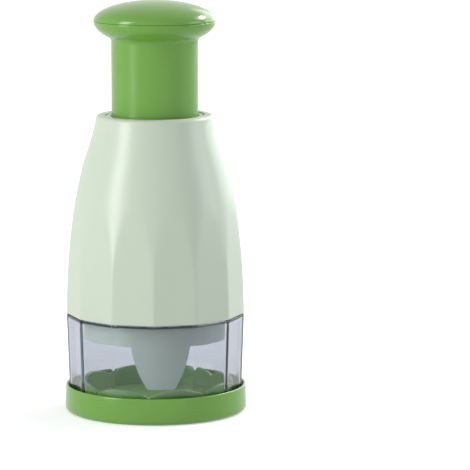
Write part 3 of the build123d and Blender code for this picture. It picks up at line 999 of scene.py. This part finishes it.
@dataclass
class Cup:
    """The clear cup: many-sided wall, shoulder and round neck."""

    wardrobe: Wardrobe
    rule: FacetRule
    draft: float
    foot: float = 4.6
    foot_gap: float = 0.06
    foot_break: float = 0.2
    seam_gap: float = 0.12
    wall: float = 1.8
    shoulder: float = 1.1
    neck_outer: float = 30.6
    neck_inner: float = 29.2
    neck_top: float = 46.5
    neck_fillet: float = 0.3
    neck_break: float = 0.2
    throat_break: float = 0.4
    lead_in: float = 0.6
    edge: float = 0.4
    edge_middle: float = 0.3
    ridge_rounding: float = 0.08
    inner_corner: float = 0.7
    rows: int = 24

    def wall_station(self, height: float, set_in: float) -> Station:
        """A station on the many-sided wall.

        Args:
            height: Height above the table.
            set_in: How far it is moved towards the axis.

        Returns:
            The station.
        """
        apothem = self.rule.apothem + (height - self.rule.seam_height) * tand(self.draft)
        ridge = (apothem - set_in) / cosd(HALF_FACET)
        return Station(ridge - self.ridge_rounding, height, 1.0, set_in)

    def profile(self) -> list[Station]:
        """Closed profile of the cup, starting at the inside of its foot."""
        edge, soft = self.edge, self.edge * self.edge_middle
        bottom = self.foot + self.foot_gap
        top = self.rule.seam_height - self.seam_gap
        under = self.rule.seam_height - self.shoulder
        wall = [(bottom, self.wall - self.foot_break), (bottom, edge), (bottom + soft, soft)]
        wall += [(height, 0.0) for height in evenly(bottom + edge, top - edge, self.rows)]
        wall += [(top - soft, soft), (top, edge)]
        outer, inner, rim = self.neck_outer, self.neck_inner, self.neck_top
        neck = [(outer + self.neck_fillet, top), (outer, top + self.neck_fillet)]
        neck += [(outer, rim - self.lead_in), (outer - self.lead_in, rim)]
        neck += [(inner + self.neck_break, rim), (inner, rim - self.neck_break)]
        neck += [(inner, under + self.throat_break), (inner + self.throat_break, under)]
        corner, low, turns = self.inner_corner, bottom + self.foot_break, (0, 25, 50, 75, 90)
        inside = [(under - corner * (1 - cosd(t)), self.wall + corner * (1 - sind(t))) for t in turns]
        inside += [(height, self.wall) for height in evenly(under - corner, low, self.rows)[1:]]
        faceted = [[self.wall_station(*place_of) for place_of in part] for part in (wall, inside)]
        return faceted[0] + plain(neck) + faceted[1]

    def build(self) -> None:
        """Builds and dresses the cup."""
        cup = self.rule.shape("clear_cup_wall", self.profile(), self.wardrobe.material(Finish.CLEAR))
        self.wardrobe.dress(cup, Finish.CLEAR, "cup", "clear_cup")


# ---- screws


@dataclass(frozen=True)
class CrossScrew:
    """A pan-head screw with a cross recess, its head down and the head's seat at height 0."""

    head_radius: float
    head_height: float
    shank_radius: float
    length: float
    columns: int = 48
    head_rounding: float = 0.4
    seat_break: float = 0.1
    tip_length: float = 0.8
    tip_share: float = 0.5
    recess_share: float = 0.62
    recess_width: float = 0.24
    recess_depth: float = 0.6
    recess_taper: float = 0.45
    overcut: float = 0.2

    def mesh(self, name: str) -> Mesh:
        """The screw, on the Z axis, with the recess cut into its head.

        Args:
            name: Name of the mesh.

        Returns:
            The mesh.
        """
        soft = self.head_height * self.head_rounding
        points = [(0.0, -self.head_height), (self.head_radius - soft, -self.head_height)]
        points += rounding(self.head_radius - soft, soft - self.head_height, soft, -80, 0, 6)
        points += [(self.head_radius, -self.seat_break), (self.head_radius - self.seat_break, 0.0)]
        points += [(self.shank_radius, 0.0), (self.shank_radius, self.length - self.tip_length)]
        points += [(self.shank_radius * self.tip_share, self.length), (0.0, self.length)]
        blank = turned_mesh(f"{name}_blank", plain(points), even_angles(self.columns))
        clean(blank)
        screw = place(blank, f"{name}_blank")
        cutter = place(self.cutter_mesh(), f"{name}_cutter")
        cut = screw.modifiers.new("recess", "BOOLEAN")
        cut.operation, cut.solver, cut.object = "DIFFERENCE", "EXACT", cutter
        mesh = settled_mesh(screw, name)
        bpy.data.objects.remove(cutter)
        clean(mesh)
        return mesh

    def cutter_mesh(self) -> Mesh:
        """A cross that narrows upwards, as the driver's tip does."""
        arm = self.head_radius * self.recess_share
        half = self.head_radius * self.recess_width / 2
        deep = self.head_height * self.recess_depth
        levels = [(-self.head_height - self.overcut, 1.0), (-self.head_height + deep, self.recess_taper)]
        outline = []
        for quarter in range(4):
            c, s = round(cosd(90 * quarter)), round(sind(90 * quarter))
            outline += [(x * c - y * s, x * s + y * c) for x, y in ((arm, half), (half, half), (half, arm))]
        return lofted("cross_cutter", [[(x * size, y * size, z) for x, y in outline] for z, size in levels])


# ---- housing


@dataclass
class Housing:
    """The mint housing with its bush, guard sleeve, bearing plate, nut and screws."""

    wardrobe: Wardrobe
    rule: FacetRule
    span: Span = field(default_factory=lambda: Span.of("housing_shell"))
    bush: Span = field(default_factory=lambda: Span.of("guide_bush"))
    screws: Span = field(default_factory=lambda: Span.of("guard_screws"))
    likenesses: tuple[Likeness, ...] = (
        Likeness("guard_sleeve", "guard_wall", Finish.MINT),
        Likeness("bearing_plate", "bearing_disc", Finish.MINT),
        Likeness("cam_nut", "spindle_nut", Finish.NYLON),
        Likeness("wiper_ring", "wiper_snap_ring", Finish.NYLON),
    )
    # the turned form, as (share of the height, share of the way in to the top's radius)
    curve: tuple[Point, ...] = (
        (0.0, 0.0),
        (0.113, 0.021),
        (0.252, 0.063),
        (0.377, 0.138),
        (0.503, 0.238),
        (0.629, 0.381),
        (0.748, 0.556),
        (0.844, 0.749),
        (0.926, 0.9),
        (1.0, 1.0),
    )
    rows: int = 96
    top_radius: float = 22.0
    wall: float = 2.4
    # heights of the inner wall's points, from the top down to the socket
    inner_heights: tuple[float, ...] = (107, 104, 100, 95, 90, 84, 78, 72, 66, 60, 55, 51)
    top_rounding: float = 1.7
    # the wall ends this share of the rounding below the top, and the rounding starts
    # this much further round, so that the two meet in a smooth line
    wall_end: float = 1.15
    rounding_lead: float = 6.0
    hole_radius: float = 18.7
    hole_edge: float = 0.3
    cavity_top: float = 110.6
    collar_radius: float = 20.3
    socket_radius: float = 31.0
    socket_top: float = 47.5
    seam_edge: float = 0.35
    boss_count: int = 3
    boss_turn: float = 30.0
    boss_pitch: float = 22.4
    boss_radius: float = 3.2
    boss_bottom: float = 69.4
    boss_top: float = 104.0
    boss_rows: int = 18
    boss_columns: int = 40
    pilot_radius: float = 1.4
    pilot_depth: float = 10.0
    rib_width: float = 1.6
    screw_head: float = 2.6
    screw_head_height: float = 2.2
    screw_length: float = 13.4
    bush_bore: float = 16.65
    bush_radius: float = 18.6
    bush_break: float = 0.3
    bush_rounding: float = 0.45
    bush_collar_bottom: float = 108.3
    bush_collar_gap: float = 0.02
    bush_columns: int = 160

    def outer_radius(self, height: float) -> float:
        """Radius of the turned form at a height, smooth through the curve's points.

        Args:
            height: Height above the table.

        Returns:
            The radius before the facets are cut.
        """
        share = (height - self.span.bottom) / (self.span.top - self.span.bottom)
        ups, ins = zip(*self.curve)
        end = len(ups) - 1
        i = max(k for k in range(end) if ups[k] <= max(share, 0.0))
        step = ups[i + 1] - ups[i]
        t = (share - ups[i]) / step
        slopes = []
        for k in (i, i + 1):
            before, after = max(k - 1, 0), min(k + 1, end)
            slopes.append((ins[after] - ins[before]) / (ups[after] - ups[before]))
        way_in = (
            ins[i] * (2 * t**3 - 3 * t**2 + 1)
            + slopes[0] * step * (t**3 - 2 * t**2 + t)
            + ins[i + 1] * (3 * t**2 - 2 * t**3)
            + slopes[1] * step * (t**3 - t**2)
        )
        ridge = self.rule.apothem / cosd(HALF_FACET)
        return ridge + way_in * (self.top_radius - ridge)

    def shell_profile(self) -> list[Station]:
        """Closed profile of the shell, starting at the inside of its lower edge."""
        seam, top, edge = self.span.bottom, self.span.top, self.seam_edge
        stations = [Station(self.socket_radius, seam)]
        for turn in (-90, -60, -30):
            set_in = edge * (1 - cosd(turn))
            height = seam + edge * (1 + sind(turn))
            stations.append(Station(self.outer_radius(height) - set_in, height, 1.0, set_in))
        last = top - self.top_rounding * self.wall_end
        for height in evenly(seam + edge, last, self.rows):
            stations.append(Station(self.outer_radius(height), height, 1.0))
        reach = 0.5
        lean = (self.outer_radius(last) - self.outer_radius(last - reach)) / reach
        start = -math.degrees(math.atan(lean))
        corner = self.outer_radius(last) - self.top_rounding * cosd(start)
        lead, edge = start + self.rounding_lead, self.hole_edge
        inside = rounding(corner, top - self.top_rounding, self.top_rounding, lead, 90, 9)
        inside += rounding(self.hole_radius + edge, top - edge, edge, 90, 180, 3)
        inside += [(self.hole_radius, self.cavity_top), (self.collar_radius, self.cavity_top)]
        inside += [(self.outer_radius(height) - self.wall, height) for height in self.inner_heights]
        return stations + plain(inside + [(self.socket_radius, self.socket_top)])

    def boss_mesh(self) -> Mesh:
        """One screw boss with its rib, on the +X side, kept inside the housing's wall."""
        hole_end = self.boss_bottom + self.pilot_depth
        levels = evenly(self.boss_bottom, self.boss_top, self.boss_rows)
        profile = [(0.0, hole_end), (self.pilot_radius, hole_end), (self.pilot_radius, self.boss_bottom)]
        profile += [(self.boss_radius, level) for level in levels] + [(0.0, self.boss_top)]
        post = turned_mesh("boss", plain(profile), even_angles(self.boss_columns))
        mesh = shifted(post, self.boss_pitch, 0.0)
        work = bmesh.new()
        work.from_mesh(mesh)
        half = self.rib_width / 2
        rows = []
        for level in levels:
            reach = self.outer_radius(level) - self.wall / 2
            corners = [(self.boss_pitch, -half), (reach, -half), (reach, half), (self.boss_pitch, half)]
            rows.append([work.verts.new((x * MM, y * MM, level * MM)) for x, y in corners])
        for lower, upper in zip(rows, rows[1:]):
            for i in range(4):
                k = (i + 1) % 4
                work.faces.new((lower[i], lower[k], upper[k], upper[i]))
        work.faces.new(tuple(reversed(rows[0])))
        work.faces.new(tuple(rows[-1]))
        for vertex in work.verts:
            limit = (self.outer_radius(vertex.co.z / MM) - self.wall / 2) * MM
            away = math.hypot(vertex.co.x, vertex.co.y)
            if away > limit:
                vertex.co.x *= limit / away
                vertex.co.y *= limit / away
        work.to_mesh(mesh)
        work.free()
        clean(mesh)
        return mesh

    def bush_profile(self) -> list[Station]:
        """Closed profile of the guide bush."""
        bottom, top = self.bush.bottom, self.bush.top
        bore, outer, collar = self.bush_bore, self.bush_radius, self.bush.radius
        corner, soft = self.bush_break, self.bush_rounding
        collar_top = self.cavity_top - self.bush_collar_gap
        points = [(bore, bottom + corner), (bore + corner, bottom), (outer - corner, bottom)]
        points += [(outer, bottom + corner), (outer, self.bush_collar_bottom)]
        points += [(collar, self.bush_collar_bottom), (collar, collar_top), (outer, collar_top)]
        points += rounding(outer - soft, top - soft, soft, 0, 90)
        points += rounding(bore + soft, top - soft, soft, 90, 180)
        return plain(points)

    def at_bosses(self, name: str, mesh: Mesh, finish: Finish, sharp_angle: float) -> Object:
        """Repeats a mesh, made on the +X side, at each boss."""
        material = self.wardrobe.material(finish)
        return repeated_piece(name, mesh, self.boss_count, self.boss_turn, material, sharp_angle)

    def build(self) -> None:
        """Builds and dresses every piece that the housing carries."""
        dress = self.wardrobe.dress
        shell = self.rule.shape("housing_wall", self.shell_profile(), self.wardrobe.material(Finish.MINT))
        dress(shell, Finish.MINT, "housing", "housing_shell")
        bosses = self.at_bosses("screw_bosses", self.boss_mesh(), Finish.MINT, 40.0)
        dress(bosses, Finish.MINT, "housing")
        screw = CrossScrew(self.screw_head, self.screw_head_height, self.pilot_radius, self.screw_length)
        seat = self.screws.bottom + self.screw_head_height
        seated = shifted(screw.mesh("guard_screw"), self.boss_pitch, seat)
        screws = self.at_bosses("cross_screws", seated, Finish.SCREW, 38.0)
        dress(screws, Finish.SCREW, "housing", "guard_screws")
        bush = turned_piece("guide_ring", self.bush_profile(), self.bush_columns)
        dress(bush, Finish.GREEN, "housing", "guide_bush")
        for likeness in self.likenesses:
            likeness.build(self.wardrobe, "housing")


# ---- plunger


@dataclass
class Plunger:
    """The green plunger: tube with its notched flange, flared rim and domed cap."""

    wardrobe: Wardrobe
    tube: Span = field(default_factory=lambda: Span.of("plunger_tube"))
    cap: Span = field(default_factory=lambda: Span.of("knob_cap"))
    columns: int = 288
    radius: float = 16.4
    bore: float = 14.6
    bore_ledge: float = 1.0
    bore_break: float = 0.4
    underside_height: float = 9.3
    flare_rounding: float = 2.0
    flare_lead: float = 0.3
    seam_rounding: float = 0.35
    rim_bore: float = 19.7
    cavity_floor: float = 145.2
    web_top: float = 141.0
    web_bottom: float = 138.5
    web_bore: float = 3.05
    flange_radius: float = 20.6
    flange_top: float = 100.1
    notch_radius: float = 3.6
    notch_pitch: float = 22.4
    notch_turn: float = 30.0
    notch_count: int = 3
    skirt_radius: float = 19.6
    skirt_wall: float = 1.6
    skirt_break: float = 0.2
    cap_wall: float = 2.0
    cap_inset: float = 0.02
    dome_lead: float = 1.0

    def build(self) -> None:
        """Builds and dresses the tube and the cap."""
        tube = turned_piece("plunger_body", self.tube_profile(), self.columns, self.flange_rule)
        self.wardrobe.dress(tube, Finish.GREEN, "plunger", "plunger_tube")
        cap = turned_piece("plunger_dome", self.cap_profile(), self.columns)
        self.wardrobe.dress(cap, Finish.GREEN, "plunger", "knob_cap")

    def flange_rule(self, station: Station, angle: float) -> float:
        """Radius of a station at an angle, less where a notch in the flange clears a boss.

        Args:
            station: The station.
            angle: The angle round the axis.

        Returns:
            The radius there.
        """
        if station.height > self.flange_top + 0.01 or station.radius <= self.radius:
            return station.radius
        step = 360.0 / self.notch_count
        off = (angle - self.notch_turn + step / 2) % step - step / 2
        reach = self.notch_pitch * sind(off)
        if abs(reach) >= self.notch_radius:
            return station.radius
        notch = self.notch_pitch * cosd(off) - math.sqrt(self.notch_radius**2 - reach**2)
        return min(station.radius, notch)

    def tube_profile(self) -> list[Station]:
        """Closed profile of the tube, starting at the inside of its foot."""
        seam, rim, soft = self.tube.top, self.tube.radius, self.seam_rounding
        drop, flare = self.underside_height, self.flare_rounding
        # the flare's ellipse, drawn on, would meet the tube here, at this slope
        meet = -math.degrees(math.acos(self.radius / rim))
        slope = math.degrees(math.atan2(drop * cosd(meet), -rim * sind(meet)))
        fillet_height = seam + drop * sind(meet) - flare * tand((90 - slope) / 2)
        points = [(self.bore, self.tube.bottom), (self.flange_radius, self.tube.bottom)]
        points += [(self.flange_radius, self.flange_top), (self.radius, self.flange_top)]
        points += rounding(self.radius + flare, fillet_height, flare, 180, 90 + slope, 10)
        first = -math.degrees(math.acos((points[-1][0] + self.flare_lead) / rim))
        last = -math.degrees(math.asin(soft / drop))
        points += rounding(0.0, seam, rim, first, last, 30, rise=drop)
        points += rounding(rim - soft, seam - soft, soft, 30, 90, 4)
        ledge, corner = self.bore_ledge, self.bore_break
        points += [(self.rim_bore, seam), (self.rim_bore, self.cavity_floor)]
        points += [(self.bore + ledge, self.cavity_floor), (self.bore - ledge, self.web_top)]
        points += [(self.web_bore, self.web_top), (self.web_bore, self.web_bottom)]
        points += [(self.bore - corner, self.web_bottom), (self.bore, self.web_bottom - corner)]
        return plain(points)

    def cap_profile(self) -> list[Station]:
        """Profile of the cap, from the middle of its hollow to the top of its dome."""
        seam, soft, corner = self.tube.top, self.seam_rounding, self.skirt_break
        rise = self.cap.top - seam
        inner, outer, foot = self.skirt_radius - self.skirt_wall, self.skirt_radius, self.cap.bottom
        points = rounding(0.0, seam, inner, 90, 0, 9, rise=rise - self.cap_wall)
        points += [(inner, foot + corner), (inner + corner, foot), (outer - corner, foot)]
        points += [(outer, foot + corner), (outer, seam)]
        points += rounding(self.tube.radius - soft - self.cap_inset, seam + soft, soft, -90, -10, 5)
        first = math.degrees(math.asin(soft / rise)) + self.dome_lead
        points += rounding(0.0, seam, self.tube.radius, first, 90, 48, rise=rise)
        return plain(points)


# ---- rotor and wiper


@dataclass
class Rotor:
    """What turns as the plunger goes down: spindle, washers, carrier, blade and screws."""

    wardrobe: Wardrobe
    top_screw: Span = field(default_factory=lambda: Span.of("spindle_screw"))
    blade_screw: Span = field(default_factory=lambda: Span.of("blade_screw"))
    likenesses: tuple[Likeness, ...] = (
        Likeness("spiral_spindle", "twisted_spindle", Finish.NYLON, 35.0),
        Likeness("blade_carrier", "carrier_disc", Finish.NYLON),
        Likeness("zigzag_blade", "folded_blade", Finish.BLADE, 12.0),
        Likeness("thrust_washer", "lower_washer", Finish.SCREW),
        Likeness("spindle_washer", "upper_washer", Finish.SCREW),
    )
    shank: float = 1.5
    top_head_height: float = 2.2
    blade_head_height: float = 1.6

    def build(self) -> None:
        """Builds and dresses the rotor's pieces."""
        for likeness in self.likenesses:
            likeness.build(self.wardrobe, "rotor")
        top, low = self.top_screw, self.blade_screw
        seat = top.top - self.top_head_height
        upper = CrossScrew(top.radius, self.top_head_height, self.shank, seat - top.bottom)
        turned_over = shifted(upper.mesh("upper_screw"), 0.0, seat, upside_down=True)
        self.fit_screw(turned_over, "upper_screw", "spindle_screw")
        seat = low.bottom + self.blade_head_height
        lower = CrossScrew(low.radius, self.blade_head_height, self.shank, low.top - seat)
        self.fit_screw(shifted(lower.mesh("carrier_screw"), 0.0, seat), "carrier_screw", "blade_screw")

    def fit_screw(self, mesh: Mesh, name: str, node: str) -> None:
        """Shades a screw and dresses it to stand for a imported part."""
        smooth(mesh)
        self.wardrobe.dress(place(mesh, name), Finish.SCREW, "rotor", node)


@dataclass
class Wiper:
    """The white disc that turns with the blade and scrapes it clean."""

    wardrobe: Wardrobe
    disc: Likeness = Likeness("wiper_disc", "slotted_wiper", Finish.NYLON)

    def build(self) -> None:
        """Builds and dresses the wiper."""
        self.disc.build(self.wardrobe, "wiper")


# ---- return spring


@dataclass
class ReturnSpring:
    """The coil spring between the bearing plate and the plunger, with closed ends."""

    wardrobe: Wardrobe
    span: Span = field(default_factory=lambda: Span.of("return_spring"))
    wire_radius: float = 0.65
    turns: float = 10.0
    stroke: float = 25.0

    def tree(self) -> NodeTree:
        """Builds the Geometry Nodes tree of a coil whose end turns lie close."""
        numbers = ["Turns", "Coil Radius", "Wire Radius", "Bottom", "Height"]
        bench, source = geometry_bench("closed-end coil", numbers)
        coil = bench.node(
            "GeometryNodeCurveSpiral",
            {
                "Resolution": 40,
                "Rotations": source["Turns"],
                "Start Radius": source["Coil Radius"],
                "End Radius": source["Coil Radius"],
                "Height": 0.0,
            },
        )
        along = bench.node("GeometryNodeSplineParameter").outputs["Factor"]
        near = bench.math("DIVIDE", 1.0, source["Turns"])
        far = bench.math("SUBTRACT", 1.0, near)
        wire = bench.math("MULTIPLY", source["Wire Radius"], 2.0)
        middle = bench.math("SUBTRACT", source["Height"], bench.math("MULTIPLY", wire, 2.0))
        stretches = ((0.0, near, wire), (near, far, middle), (far, 1.0, wire))
        rises = [bench.ranged(along, (start, end), (0.0, height)) for start, end, height in stretches]
        rise = bench.math("ADD", bench.math("ADD", rises[0], rises[1]), rises[2])
        x, y, _ = bench.position()
        path = bench.moved(coil.outputs[0], x, y, bench.math("ADD", rise, source["Bottom"]))
        circle = {"Resolution": 14, "Radius": source["Wire Radius"]}
        section = bench.node("GeometryNodeCurvePrimitiveCircle", circle)
        solid = bench.node(
            "GeometryNodeCurveToMesh",
            {"Curve": path, "Profile Curve": section.outputs[0], "Fill Caps": True},
        )
        bench.close(solid.outputs[0], source["Material"])
        return bench.tree

    def build(self) -> None:
        """Builds and dresses the spring, with a mesh of its own."""
        wire = self.wire_radius
        length = self.span.top - self.span.bottom
        values = {
            "Turns": self.turns,
            "Coil Radius": (self.span.radius - wire) * MM,
            "Wire Radius": wire * MM,
            "Bottom": (self.span.bottom + wire) * MM,
            "Height": (length - 2 * wire) * MM,
            "Material": self.wardrobe.material(Finish.SPRING),
        }
        mesh = run_tree(bpy.data.meshes.new("coil_seed"), self.tree(), values, "return_coil")
        clean(mesh)
        smooth(mesh, 60.0)
        coil = self.wardrobe.dress(place(mesh, "return_coil"), Finish.SPRING, "housing", "return_spring")
        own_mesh(coil)


# ---- studio


@dataclass(frozen=True)
class Softbox:
    """A soft upright lamp that faces the object.

    Attributes:
        name: Name of the lamp.
        turn: Where it stands, as a turn from the front towards +X.
        distance: How far it stands from the object's axis.
        height: Height of its middle.
        width: Its width.
        tall: Its height from edge to edge.
        power: Its power in watts.
        tint: Colour of its light.
    """

    name: str
    turn: float
    distance: float
    height: float
    width: float
    tall: float
    power: float
    tint: Colour = (1.0, 1.0, 1.0)

    def build(self, aim: Vector) -> None:
        """Adds the lamp.

        Args:
            aim: The place that it points at, in metres.
        """
        data = bpy.data.lights.new(self.name, "AREA")
        data.shape = "RECTANGLE"
        data.size, data.size_y = self.width * MM, self.tall * MM
        data.energy = self.power
        data.color = self.tint
        lamp = bpy.data.objects.new(self.name, data)
        stand = (self.distance * sind(self.turn), -self.distance * cosd(self.turn), self.height)
        lamp.location = tuple(c * MM for c in stand)
        lamp.rotation_euler = (aim - lamp.location).to_track_quat("-Z", "Y").to_euler()
        lamp.visible_camera = False
        bpy.context.scene.collection.objects.link(lamp)


@dataclass
class Studio:
    """Camera, lamps, pale floor and backdrop."""

    camera_place: tuple[float, float, float] = (0.0, -1240.5, 252.1)
    camera_tilt: float = 8.495
    camera_turn: float = -1.396
    lens: float = 253.2
    aim_height: float = 70.0
    world_light: float = 0.42
    world_tint: Colour = (0.97, 0.985, 1.0)
    floor_size: float = 14000.0
    floor_height: float = -0.05
    floor_colour: float = 0.85
    # the floor's own light for the camera grows with the distance from the object
    floor_glow: tuple[float, float] = (0.42, 0.68)
    glow_reach: tuple[float, float] = (120.0, 700.0)
    lamps: tuple[Softbox, ...] = (
        Softbox("key", -60, 1300, 540, 420, 1200, 13.8),
        Softbox("fill", 84, 1500, 460, 700, 800, 5.0, (0.94, 1.0, 1.03)),
        Softbox("crown", 130, 1100, 900, 440, 180, 8.0),
        Softbox("edge", 146, 1400, 450, 1100, 900, 5.6, (0.95, 1.0, 1.03)),
        Softbox("strip", 119, 1300, 380, 70, 500, 1.3, (0.95, 1.0, 1.03)),
    )
    light_bounces: int = 24

    def build(self) -> None:
        """Sets the scene up round the object."""
        self.camera()
        self.world()
        self.floor()
        for lamp in self.lamps:
            lamp.build(Vector((0.0, 0.0, self.aim_height * MM)))
        bpy.context.scene.view_settings.view_transform = "Standard"
        # light has to get through the cup's clear walls and edges
        cycles = bpy.context.scene.cycles
        cycles.max_bounces = cycles.glossy_bounces = self.light_bounces
        cycles.transmission_bounces = cycles.transparent_max_bounces = self.light_bounces

    def camera(self) -> None:
        """Places the camera."""
        data = bpy.data.cameras.new("camera")
        data.lens = self.lens
        data.sensor_width = 36.0
        data.clip_start, data.clip_end = 0.01, 100.0
        camera = bpy.data.objects.new("camera", data)
        camera.location = tuple(c * MM for c in self.camera_place)
        camera.rotation_euler = (math.radians(90 - self.camera_tilt), 0.0, math.radians(self.camera_turn))
        bpy.context.scene.collection.objects.link(camera)
        bpy.context.scene.camera = camera

    def mirrored(self, bench: Bench, rays: NodeOutputs) -> NodeSocket:
        """1 for rays that carry a mirror image or come through clear plastic, before any diffuse bounce."""
        either = bench.math("MAXIMUM", rays["Is Glossy Ray"], rays["Is Transmission Ray"])
        return bench.math("MULTIPLY", either, bench.math("LESS_THAN", rays["Diffuse Depth"], 0.5))

    def world(self) -> None:
        """A white backdrop that lights the object at a plain level."""
        world = bpy.data.worlds.new("backdrop")
        world.use_nodes = True
        bpy.context.scene.world = world
        bench = Bench(world.node_tree)
        rays = bench.node("ShaderNodeLightPath").outputs
        shown = bench.math("MAXIMUM", rays["Is Camera Ray"], self.mirrored(bench, rays))
        light = world.node_tree.nodes["Background"]
        bench.feed(light, {"Color": (*self.world_tint, 1.0), "Strength": self.world_light})
        white = bench.node("ShaderNodeBackground", {"Color": WHITE, "Strength": 1.0})
        mix = bench.node("ShaderNodeMixShader", {0: shown, 1: light.outputs[0], 2: white.outputs[0]})
        bench.feed(bench.tree.nodes["World Output"], {"Surface": mix.outputs[0]})

    def floor(self) -> None:
        """A pale floor that keeps the object's shadow."""
        half, ground = self.floor_size * MM / 2, self.floor_height * MM
        mesh = bpy.data.meshes.new("floor")
        corners = [(x * half, y * half, ground) for x, y in ((-1, -1), (1, -1), (1, 1), (-1, 1))]
        mesh.from_pydata(corners, [], [(0, 1, 2, 3)])
        floor = place(mesh, "floor")
        material, bench, shader = new_material("pale floor")
        colour = (self.floor_colour,) * 3 + (1.0,)
        bench.feed(shader, {"Base Color": colour, "Roughness": 0.9, "Specular IOR Level": 0.0})
        rays = bench.node("ShaderNodeLightPath").outputs
        away = bench.node("ShaderNodeVectorMath", {0: bench.coordinates()}, operation="LENGTH")
        reach = [distance * MM for distance in self.glow_reach]
        level = bench.ranged(away.outputs["Value"], reach, self.floor_glow)
        strength = bench.math("MULTIPLY", rays["Is Camera Ray"], level)
        glow = bench.node("ShaderNodeEmission", {"Color": WHITE, "Strength": strength})
        lit = bench.node("ShaderNodeAddShader", {0: shader.outputs["BSDF"], 1: glow.outputs[0]})
        white = bench.node("ShaderNodeEmission", {"Color": WHITE, "Strength": 1.0})
        shares = {0: self.mirrored(bench, rays), 1: lit.outputs[0], 2: white.outputs[0]}
        total = bench.node("ShaderNodeMixShader", shares)
        bench.feed(bench.tree.nodes["Material Output"], {"Surface": total.outputs[0]})
        mesh.materials.append(material)


# ---- the whole


def main() -> None:
    """Builds the dressed object and the studio round it."""
    logging.basicConfig(level=logging.INFO, format="%(name)s: %(message)s")
    for item in list(bpy.data.objects):
        bpy.data.objects.remove(item)
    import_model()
    wardrobe = Wardrobe()
    seam = Span.of("housing_shell").bottom
    apothem, cup_draft = 32.96, 1.9
    housing_rule = FacetRule(seam, apothem, lean=0.015491, bow=0.0010528)
    cup_rule = FacetRule(seam, apothem, lean=-tand(cup_draft), bow=0.0)
    Base(wardrobe).build()
    Cup(wardrobe, cup_rule, cup_draft).build()
    Housing(wardrobe, housing_rule).build()
    Plunger(wardrobe).build()
    Rotor(wardrobe).build()
    Wiper(wardrobe).build()
    ReturnSpring(wardrobe).build()
    Studio().build()


if __name__ == "__main__":
    main()
